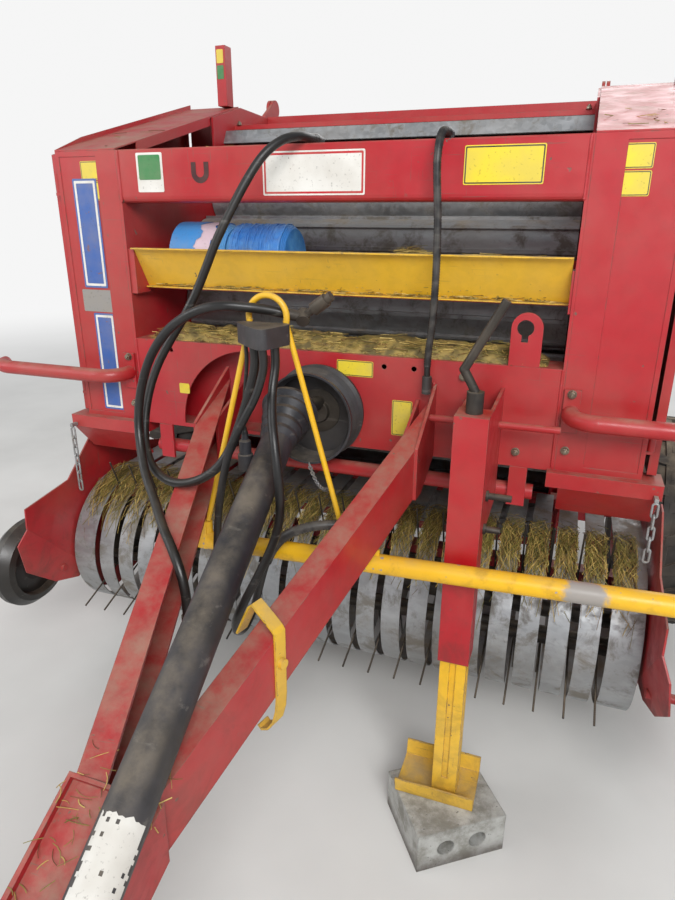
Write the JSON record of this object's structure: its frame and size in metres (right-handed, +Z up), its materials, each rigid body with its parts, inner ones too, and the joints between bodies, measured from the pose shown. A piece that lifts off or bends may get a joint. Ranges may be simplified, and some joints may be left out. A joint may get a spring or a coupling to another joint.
{
  "type": "round baler",
  "caption": "Towed round baler with a fixed roller chamber, tined pickup, opening tailgate, side doors, drawbar and jack stand.",
  "frame": {"origin": "on the ground under the middle of the whole machine, hitch eye to rear lamps", "axes": "+X the machine's left side, +Y rearwards, +Z up"},
  "size_m": [2.35, 3.585, 2.165],
  "materials": {
    "red": "faded gloss paint with dust and chips",
    "yellow": "worn gloss paint",
    "galvanised": "worn zinc, dusty",
    "dark_steel": "oily and dusty",
    "chromed_rod": "polished",
    "black_plastic": "scuffed, dusty",
    "rubber": "smooth",
    "hose": "dusty hydraulic hose and cable",
    "tyre": "dusty",
    "twine": "wound fibre",
    "concrete": "rough cast",
    "lamp": "moulded lens"
  },
  "bodies": {
    "frame": {"roller_drive": "dark_steel", "shaft_hook": "yellow", "hose_tie": "black_plastic", "chains": "galvanised", "hose_left": "hose", "hose_crossing": "hose", "hose_middle": "hose", "hose_loop": "hose", "top_cable": "hose", "plug_cable": "hose", "hose_couplings": "dark_steel", "cable_glands": "black_plastic", "plug": "black_plastic", "cover_strip": "galvanised", "front_frame": "red", "wall_left": "red", "wall_right": "red", "housing_left": "red", "housing_right": "red", "top_cover": "red", "front_rollers": "galvanised", "feed_plate": "red", "twine_trough": "yellow", "twine_tray": "red", "twine_balls": "twine", "axle": "red", "drawbar": "red", "hitch_eye": "dark_steel", "gearbox": "dark_steel", "pto_cone": "black_plastic", "jack_tube_part": "red", "jack_crank": "dark_steel", "support_block": "concrete", "side_rails": "red", "guard_tube": "yellow", "hose_arch": "yellow", "lifting_plate": "red", "indicator": "red"},
    "door_left": {"door_left": "red"},
    "door_right": {"door_right": "red"},
    "jack_leg": {"jack_leg": "yellow"},
    "drive_shaft": {"pto_guard": "black_plastic", "pto_yoke": "dark_steel"},
    "pickup": {"pickup_frame": "red", "pickup_bands": "galvanised"},
    "reel": {"pickup_reel": "dark_steel"},
    "gauge_wheel_left": {"gauge_wheel_left": "rubber"},
    "gauge_wheel_right": {"gauge_wheel_right": "rubber"},
    "wheel_left": {"tyre_left": "tyre", "rim_left": "red"},
    "wheel_right": {"tyre_right": "tyre", "rim_right": "red"},
    "tailgate": {"tailgate_frame": "red", "tailgate_skin": "red", "tailgate_rollers": "galvanised", "rear_lamps": "lamp"},
    "barrel_left": {"barrel_left": "dark_steel"},
    "rod_left": {"rod_left": "chromed_rod"},
    "barrel_right": {"barrel_right": "dark_steel"},
    "rod_right": {"rod_right": "chromed_rod"}
  },
  "joints": [
    {"name": "wheel_spin_left", "type": "hinge", "parent": "frame", "child": "wheel_left", "pos_m": [1.03, 0.9825, 0.422], "axis": [1, 0, 0], "continuous": true},
    {"name": "wheel_spin_right", "type": "hinge", "parent": "frame", "child": "wheel_right", "pos_m": [-1.03, 0.9825, 0.422], "axis": [1, 0, 0], "continuous": true},
    {"name": "tailgate_hinge", "type": "hinge", "parent": "frame", "child": "tailgate", "pos_m": [0, 0.9675, 2.012], "axis": [1, 0, 0], "range_deg": [0, 75]},
    {"name": "pickup_lift", "type": "hinge", "parent": "frame", "child": "pickup", "pos_m": [0, 0.4825, 0.62], "axis": [-1, 0, 0], "range_deg": [-12, 4]},
    {"name": "reel_spin", "type": "hinge", "parent": "pickup", "child": "reel", "pos_m": [0, 0.0325, 0.48], "axis": [1, 0, 0], "continuous": true},
    {"name": "gauge_spin_left", "type": "hinge", "parent": "pickup", "child": "gauge_wheel_left", "pos_m": [1.065, -0.2425, 0.458], "axis": [1, 0, 0], "continuous": true},
    {"name": "gauge_spin_right", "type": "hinge", "parent": "pickup", "child": "gauge_wheel_right", "pos_m": [-1.065, -0.2425, 0.458], "axis": [1, 0, 0], "continuous": true},
    {"name": "jack_slide", "type": "slide", "parent": "frame", "child": "jack_leg", "axis": [0, 0, 1], "range_m": [0, 0.2]},
    {"name": "shaft_swing", "type": "hinge", "parent": "frame", "child": "drive_shaft", "pos_m": [-0.02, -0.3675, 1.105], "axis": [-1, 0, 0], "range_deg": [0, 25]},
    {"name": "door_left_hinge", "type": "hinge", "parent": "frame", "child": "door_left", "pos_m": [0.845, -0.1055, 1.4], "axis": [0, 0, -1], "range_deg": [0, 85]},
    {"name": "door_right_hinge", "type": "hinge", "parent": "frame", "child": "door_right", "pos_m": [-0.845, -0.1055, 1.4], "axis": [0, 0, 1], "range_deg": [0, 85]},
    {"name": "barrel_swing_left", "type": "hinge", "parent": "frame", "child": "barrel_left", "pos_m": [0.695, 0.8625, 0.64], "axis": [1, 0, 0], "range_deg": [-0.01, 0.064]},
    {"name": "rod_slide_left", "type": "slide", "parent": "barrel_left", "child": "rod_left", "axis": [0, 0.3304, 0.9439], "range_m": [0, 0.5428]},
    {"name": "barrel_swing_right", "type": "hinge", "parent": "frame", "child": "barrel_right", "pos_m": [-0.695, 0.8625, 0.64], "axis": [1, 0, 0], "range_deg": [-0.01, 0.064]},
    {"name": "rod_slide_right", "type": "slide", "parent": "barrel_right", "child": "rod_right", "axis": [0, 0.3304, 0.9439], "range_m": [0, 0.5428]}
  ],
  "couplings": [
    {"joint": "barrel_swing_left", "follows": "tailgate_hinge", "ratio": 0.000718},
    {"joint": "rod_slide_left", "follows": "tailgate_hinge", "m_per_rad": 0.4143},
    {"joint": "barrel_swing_right", "follows": "tailgate_hinge", "ratio": 0.000718},
    {"joint": "rod_slide_right", "follows": "tailgate_hinge", "m_per_rad": 0.4143}
  ]
}
